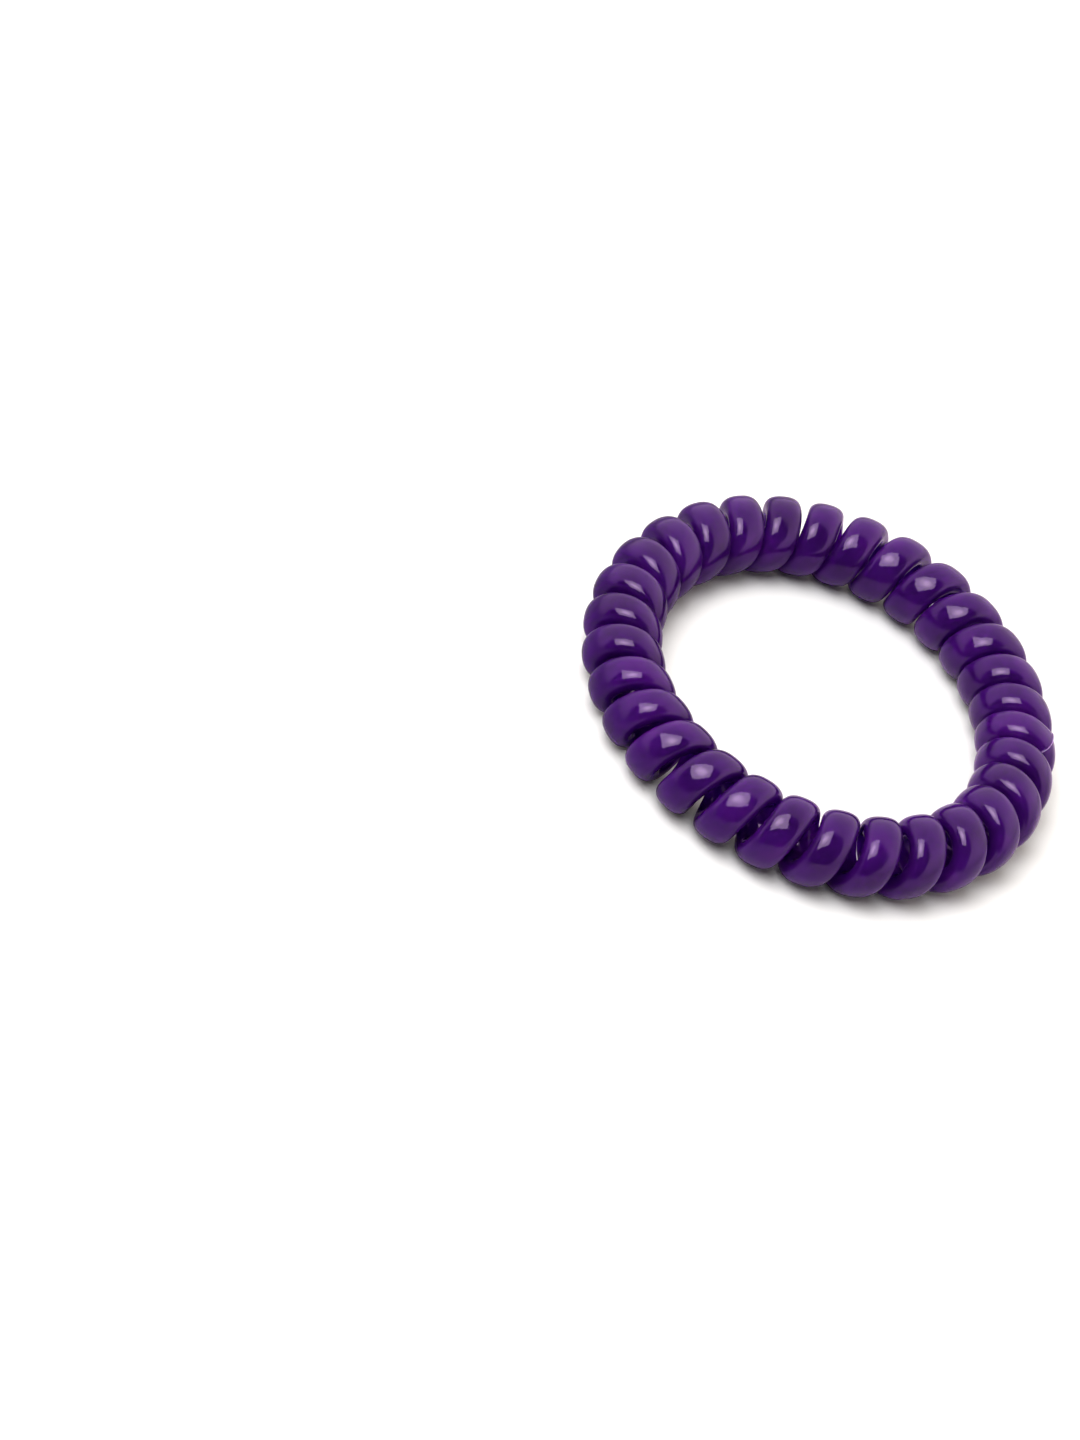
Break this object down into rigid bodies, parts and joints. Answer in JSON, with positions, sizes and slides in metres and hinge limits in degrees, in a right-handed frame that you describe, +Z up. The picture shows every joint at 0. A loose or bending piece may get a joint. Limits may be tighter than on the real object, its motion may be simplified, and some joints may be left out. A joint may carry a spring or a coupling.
{
  "type": "spiral hair tie",
  "caption": "Coiled elastic hair tie: a flattened plastic cord wound into a helix, closed into a ring and welded end to end, for holding a ponytail.",
  "frame": {"origin": "on the floor under the middle of the ring's box, with the ring lying flat", "axes": "+Z up through the ring's hole, +X to the right of the picture's view, +Y away from the camera"},
  "size_m": [0.0534, 0.0556, 0.0086],
  "materials": {
    "cord": "glossy moulded violet thermoplastic polyurethane, opaque"
  },
  "bodies": {
    "root": {"coil": "cord"}
  },
  "joints": []
}
